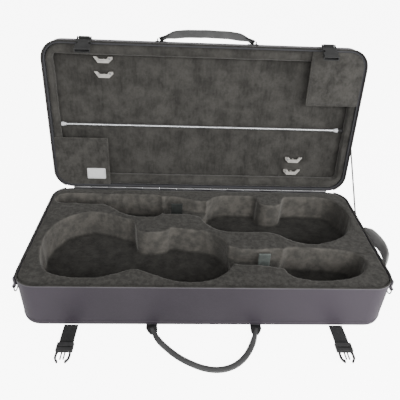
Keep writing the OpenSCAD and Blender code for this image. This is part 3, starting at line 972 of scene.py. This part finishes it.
def build_base_handle():
    """Grip at the front with two rows of stitches and a tongue at each end."""
    low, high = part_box("base_handle")
    pivot = pivot_of("base_grip_swing")
    centre = Vector(((low.x + high.x) / 2, pivot.y, (low.z + high.z) / 2))
    line = arch_line("base_handle", centre, -BACK, RIGHT)
    line = smooth_line(resample(line, 8 * MM), 14)
    line = resample(smooth_line(line, 2), 4 * MM)
    half_up = (high.z - low.z) / 2
    strap = padded_strap("base_handle_grip", line, UP, 6.4 * MM, half_up, "grip", 0.12)
    attach(strap, "base_grip", "grip_leatherette", "base_handle")
    for side, edge in (("inner", 4.6 * MM), ("outer", -4.6 * MM)):
        seam = moved_along(line, edge, half_up * 0.78)[4:-4]
        row = stitches(f"base_grip_stitches_{side}", seam, UP, "thread")
        attach(row, "base_grip", "grip_leatherette")
    for side, end, toward in (("left", line[0], line[4]), ("right", line[-1], line[-5])):
        root = Vector((end.x, pivot.y + 2.2 * MM, pivot.z))
        direction = toward - root
        direction.z = 0
        tab = end_tab(f"base_handle_tab_{side}", root, direction.normalized(), UP,
                      24 * MM, 19 * MM, 5.4 * MM)
        attach(tab, "base_grip", "tab_leatherette")


def build_arched_handle(which, outward, along, width, thick, material, slot, lean, rise):
    """Short arched grip with its stitches and black end tabs; rise flattens its arch."""
    node = f"{which}_handle"
    body = f"{which}_grip"
    flat = outward.cross(along)
    pivot = pivot_of(f"{which}_grip_swing")
    low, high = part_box(node)
    centre = pivot + along * ((low + high) / 2 - pivot).dot(along)
    line = smooth_line(resample(arch_line(node, centre, outward, along), 6 * MM), 4)
    line = [p - outward * (p - centre).dot(outward) * (1 - rise) for p in resample(line, 3 * MM)]
    strap = padded_strap(f"{node}_grip", line, outward, width / 2, thick / 2, material, 0.16, lean)
    attach(strap, body, slot, node)
    c, s = math.cos(lean), math.sin(lean)
    b = thick * 0.44
    for side, a in (("near", width * 0.36), ("far", -width * 0.36)):
        shift = flat * (a * c - b * s) + outward * (a * s + b * c)
        seam = [point + shift for point in line][9:-9]
        row = stitches(f"{node}_grip_stitches_{side}", seam, outward, "pale_thread")
        attach(row, body, slot)
    for side, end, toward in (("start", line[0], line[5]), ("stop", line[-1], line[-6])):
        reach = (end - centre).dot(along)
        root = centre + along * (reach + math.copysign(7 * MM, reach)) - outward * 0.5 * MM
        direction = (end + (toward - end).normalized() * 8 * MM - root).normalized()
        tab = end_tab(f"{node}_grip_tab_{side}", root, direction, outward * c - flat * s,
                      13 * MM, 24 * MM, 4 * MM)
        attach(tab, body, "tab_leatherette")


def build_handles():
    build_base_handle()
    build_arched_handle("lid", TURN.to_3x3() @ -BACK, RIGHT, 22 * MM, 4.6 * MM,
                        "grip", "grip_leatherette", math.radians(-52), 0.78)
    build_arched_handle("side", RIGHT, BACK, 36 * MM, 9 * MM, "grey_grip", "grey_grip", 0.0, 1.12)


# ---------- webbing, tabs and loops ----------


def ribbed(half_side, half_up, ribs, depth=0.22 * MM):
    """Flat section whose faces carry lengthwise ribs."""
    steps = ribs * 4
    top = []
    for step in range(steps + 1):
        share = step / steps
        rib = depth * (0.5 - 0.5 * math.cos(2 * math.pi * share * ribs))
        top.append((-half_side + 2 * half_side * share, half_up - depth + rib))
    bottom = [(side, -height) for side, height in top]
    return bottom + top[::-1]


def webbing_strip(name, path, width, thick, material, ribs, side=RIGHT):
    """Ribbed strip along a path; side is the direction of its width."""
    return sweep(name, path, ribbed(width / 2, thick / 2, ribs), material, fixed_side=side)


def half_turn(centre, ray, other, start, end, steps=12):
    """Points on a bend round a centre, from one angle in degrees to another."""
    angles = [math.radians(start + (end - start) * step / steps) for step in range(steps + 1)]
    return [centre + ray * math.cos(angle) + other * math.sin(angle) for angle in angles]


def sides(node):
    """Both sides with their sign along X; the left piece stands in for a node of two solids."""
    return ("left", -1, [node]), ("right", 1, [])


def build_strap_root(side, sign, nodes):
    """Folded end of a closing strap, sewn under the front wall; returns where its middle lies."""
    low, high = half_box("strap_roots", 0, sign)
    middle = (low + high) / 2
    pivot = pivot_of(f"strap_{side}_swing")
    path = resample([Vector((middle.x, y, middle.z)) for y in (high.y, pivot.y)], 1 * MM)
    size = high - low
    root = webbing_strip(f"strap_root_{side}", path, size.x, size.z, "webbing", 6)
    attach(root, "base", "webbing", *nodes)
    return middle.x


def build_strap(side, x):
    """Closing strap that bows slightly, with two bar tacks near its root."""
    node = f"strap_webbing_{side}"
    body = f"strap_{side}"
    low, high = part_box(node)
    end = low.y - 1 * MM
    steps = 24
    path = []
    for step in range(steps + 1):
        share = step / steps
        bow = math.sin(math.pi * share) * 1.2 * MM
        path.append(Vector((x, high.y + (end - high.y) * share, high.z - 2.1 * MM + bow)))
    strap = webbing_strip(body, path, high.x - low.x, 2.3 * MM, "webbing", 6)
    attach(strap, body, "webbing", node)
    half = (high.x - low.x) / 2 - 3 * MM
    for percent in (24, 30):
        y = high.y + (end - high.y) * percent / 100
        z = path[int(steps * percent / 100)].z + 1.15 * MM
        line = [Vector((x - half, y, z)), Vector((x + half, y, z))]
        seam = stitches(f"{body}_bar_{percent}", line, UP, "thread", 2.4 * MM, 0.35 * MM)
        attach(seam, body, "webbing")


def build_straps():
    for side, sign, nodes in sides("strap_roots"):
        build_strap(side, build_strap_root(side, sign, nodes))


def build_buckle_loops():
    """Webbing sewn to the lid wall and folded round the bar of each buckle socket."""
    top = closed_box("buckle_webbing_loops")[1].z
    radius = 3.3 * MM
    for side, sign, nodes in sides("buckle_webbing_loops"):
        low, high = half_box("buckle_webbing_loops", 0, sign)
        bar = TURN_BACK @ pivot_of(f"socket_{side}_swing")
        bar.x = (low.x + high.x) / 2

        def off_wall(gap, z):
            return Vector((bar.x, -HALF_W - gap * MM, z))

        points = [off_wall(1.2, top - 1 * MM), off_wall(1.5, bar.z + 10 * MM), off_wall(2.2, bar.z + 5 * MM)]
        points += half_turn(bar, BACK * radius, UP * radius, 20, -230)
        points += [off_wall(4.2, bar.z + 8 * MM), off_wall(2.9, bar.z + 14 * MM)]
        path = opened("lid", smooth_line(resample(points, 1 * MM), 2))
        loop = webbing_strip(f"buckle_loop_{side}", path, high.x - low.x, 1.7 * MM, "webbing", 4)
        attach(loop, "lid", "webbing", *nodes)


def build_grip_roots():
    """Sewn roots of the base handle: flat patches with rounded ends on the front wall."""
    pivot = pivot_of("base_grip_swing")
    steps = 10
    for side, sign, nodes in sides("base_handle_tabs"):
        low, high = half_box("base_handle_tabs", 0, sign)
        low.y = pivot.y - 1 * MM
        high.y += 2 * MM
        half = (high - low) / 2

        def section(i):
            end = min(i, steps - i) / 1.5
            close = 1.0 if end >= 1 else 0.72 + 0.28 * end
            return oval(half.y, half.z * close, 7, 24)

        path = [low + half + RIGHT * half.x * (2 * i / steps - 1) for i in range(steps + 1)]
        root = sweep(f"base_grip_root_{side}", path, section, "tab")
        attach(root, "base", "tab_leatherette", *nodes)


def build_ring_loops():
    """Tabs at the corners, folded round their D-rings."""
    radius = 3.2 * MM
    for side, sign, nodes in sides("ring_tabs"):
        low, high = half_box("ring_tabs", 0, sign)
        ring = pivot_of(f"ring_{side}_swing")
        ring.y = (low.y + high.y) / 2
        wall = high.x - 1 * MM if sign < 0 else low.x + 1 * MM
        front = wall + sign * 1.7 * MM

        def at(x, z):
            return Vector((x, ring.y, z))

        points = [at(wall, high.z - 0.5 * MM), at(wall, ring.z + 6 * MM)]
        points += half_turn(ring, RIGHT * sign * radius, UP * radius, 150, -150)
        points += [at(front, ring.z + 7 * MM), at(front, high.z - 3 * MM)]
        path = smooth_line(resample(points, 1 * MM), 2)
        loop = webbing_strip(f"ring_loop_{side}", path, high.y - low.y + 4 * MM, 2.2 * MM, "piping", 3, BACK)
        attach(loop, "base", "webbing", *nodes)


def build_neck_strap(which):
    """Standing neck strap: a folded ribbon with a hem."""
    node = f"neck_strap_{which}"
    low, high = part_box(node)
    pivot = pivot_of(f"neck_{which}_fold")
    x = (low.x + high.x) / 2
    top = high.z - 3 * MM
    hem = 1.7 * MM
    steps = 22
    path = []
    for step in range(steps + 1):
        share = step / steps
        y = pivot.y + math.sin(share * math.pi) * 1.2 * MM
        path.append(Vector((x, y, pivot.z + (top - pivot.z) * share)))
    path += half_turn(path[-1] + BACK * hem, -BACK * hem, UP * hem, 0, 180, 7)[1:]
    fold = path[-1]
    path += [fold + Vector((0, 0.1 * MM * step, -1.5 * MM * step)) for step in range(1, 10)]
    strap = webbing_strip(f"{node}_ribbon", path, high.x - low.x, 1.9 * MM, f"neck_{which}", 6)
    attach(strap, f"neck_{which}", "neck_webbing", node)


def twisted(i):
    """Section of a cord of three strands, turned on a little from point to point."""
    ring = []
    for x, y in circle(1, 18):
        radius = (2.0 + 0.3 * math.cos(3 * math.atan2(y, x) + 0.9 * i)) * MM
        ring.append((radius * x, radius * y))
    return ring


def build_cord_half(part, body):
    """Half of the stay cord: the cord itself, its eye and the binding behind the eye."""
    node = f"stay_cord_{part}"
    eye = pivot_of(f"{body}_swing") + RIGHT * 0.6 * MM
    far = max((v.co for v in NODES[node].data.vertices), key=lambda p: (p - eye).length)
    along = Vector((0, far.y - eye.y, far.z - eye.z)).normalized()
    length = (far - eye).dot(along)
    steps = 150
    start = 3.2 * MM
    path = [eye + along * (start + (length - start) * i / steps) for i in range(steps + 1)]
    cord = sweep(f"cord_{part}", path, twisted, "cord", up=RIGHT)
    attach(cord, body, "cord", node)
    radius = 2.6 * MM
    path = half_turn(eye, along * radius, along.cross(RIGHT) * radius, 0, 360, 24)[:-1]
    loop = sweep(f"cord_eye_{part}", path, oval(0.7 * MM, 0.9 * MM, 2, 10), "cord", True, RIGHT)
    attach(loop, body, "cord")
    path = [eye + along * (3.4 + 0.8 * i) * MM for i in range(7)]
    wraps = [circle(2.5 * MM, 16), circle(2.25 * MM, 16)]
    bind = sweep(f"cord_binding_{part}", path, lambda i: wraps[i % 2], "thread", up=RIGHT)
    attach(bind, body, "cord")


# ---------- light and camera ----------


# Name, place in metres, power in watts and size in metres of each softbox.
LAMPS = (
    ("front_left", (-0.5, -2.2, 1.35), 27, (1.6, 1.1)),
    ("front_right", (1.1, -2.0, 1.2), 35, (1.6, 1.1)),
    ("overhead", (0.0, -0.2, 2.2), 12, (2.4, 1.6)),
    ("side_left", (-2.1, -0.5, 0.6), 5, (1.2, 1.0)),
    ("side_right", (2.1, -0.5, 0.6), 24, (1.2, 1.0)),
)
LAMP_TARGET = Vector((0, 0, 0.15))
WHITE = (1, 1, 1)
FLOOR_HALF = 6
FLOOR_GLOW = 8.0
WORLD_SEEN = 12.0
WORLD_LIGHT = 0.18
# Camera fitted to the photo: place in metres, its right and up directions, and its lens.
CAMERA_PLACE = (-0.05959, -0.8276, 0.74488)
CAMERA_RIGHT = Vector((0.998788, -0.029266, 0.039573))
CAMERA_UP = Vector((-0.017167, 0.546397, 0.837351))
LENS_MM = 38.61
SENSOR_MM = 36


def build_light(name, place, power, size):
    """Rectangular softbox aimed at the case."""
    data = bpy.data.lights.new(name, "AREA")
    data.energy = power
    data.shape = "RECTANGLE"
    data.size, data.size_y = size
    lamp = bpy.data.objects.new(name, data)
    lamp.location = place
    lamp.rotation_euler = (LAMP_TARGET - Vector(place)).to_track_quat("-Z", "Y").to_euler()
    bpy.context.scene.collection.objects.link(lamp)
    return lamp


def camera_ray_mix(tree, for_camera, for_light):
    """Strength that camera rays see, and the one that lights the object."""
    seen = add_node(tree, "LightPath").outputs["Is Camera Ray"]
    return add_node(tree, "MapRange", Value=seen, To_Min=for_light, To_Max=for_camera).outputs["Result"]


def build_floor():
    """White seamless floor that glows to the camera alone, so that it stays pale round the case."""
    corners = [(x * FLOOR_HALF, y * FLOOR_HALF, 0) for x, y in ((-1, -1), (1, -1), (1, 1), (-1, 1))]
    floor = add_object("studio_floor", mesh_from("studio_floor", corners, [(0, 1, 2, 3)]))
    look = Finish("studio_white", WHITE)
    look.set(Base_Color=(0.9, 0.9, 0.9), Roughness=0.9, Emission_Color=WHITE,
             Emission_Strength=camera_ray_mix(look.tree, FLOOR_GLOW, 0.0))
    floor.data.materials.append(look.material)
    return floor


def build_world():
    """White surroundings, bright to the camera and dim as a light."""
    world = bpy.data.worlds.new("studio")
    world.use_nodes = True
    tree = world.node_tree
    inputs = tree.nodes["Background"].inputs
    feed(tree, inputs["Color"], WHITE)
    feed(tree, inputs["Strength"], camera_ray_mix(tree, WORLD_SEEN, WORLD_LIGHT))
    bpy.context.scene.world = world


def build_camera():
    """Camera in front of the case, a little left of its middle, looking down at 33 degrees."""
    data = bpy.data.cameras.new("photo_view")
    data.lens = LENS_MM
    data.sensor_width = SENSOR_MM
    camera = bpy.data.objects.new("photo_view", data)
    turn = Matrix((CAMERA_RIGHT, CAMERA_UP, CAMERA_RIGHT.cross(CAMERA_UP))).transposed().to_4x4()
    camera.matrix_world = Matrix.Translation(CAMERA_PLACE) @ turn
    bpy.context.scene.collection.objects.link(camera)
    bpy.context.scene.camera = camera


finish_cad_nodes()
build_insert()
build_piping()
build_hinge_tape()
build_lid_border()
build_lid_panel()
build_pocket("left", -1)
build_pocket("right", 1)
build_label()
build_rod_caps()
build_key_screws()
build_handles()
build_straps()
build_buckle_loops()
build_grip_roots()
build_ring_loops()
build_neck_strap("front")
build_neck_strap("rear")
build_cord_half("lower", "cord_low")
build_cord_half("upper", "cord_up")
build_floor()
[build_light(*lamp) for lamp in LAMPS]
build_world()
build_camera()
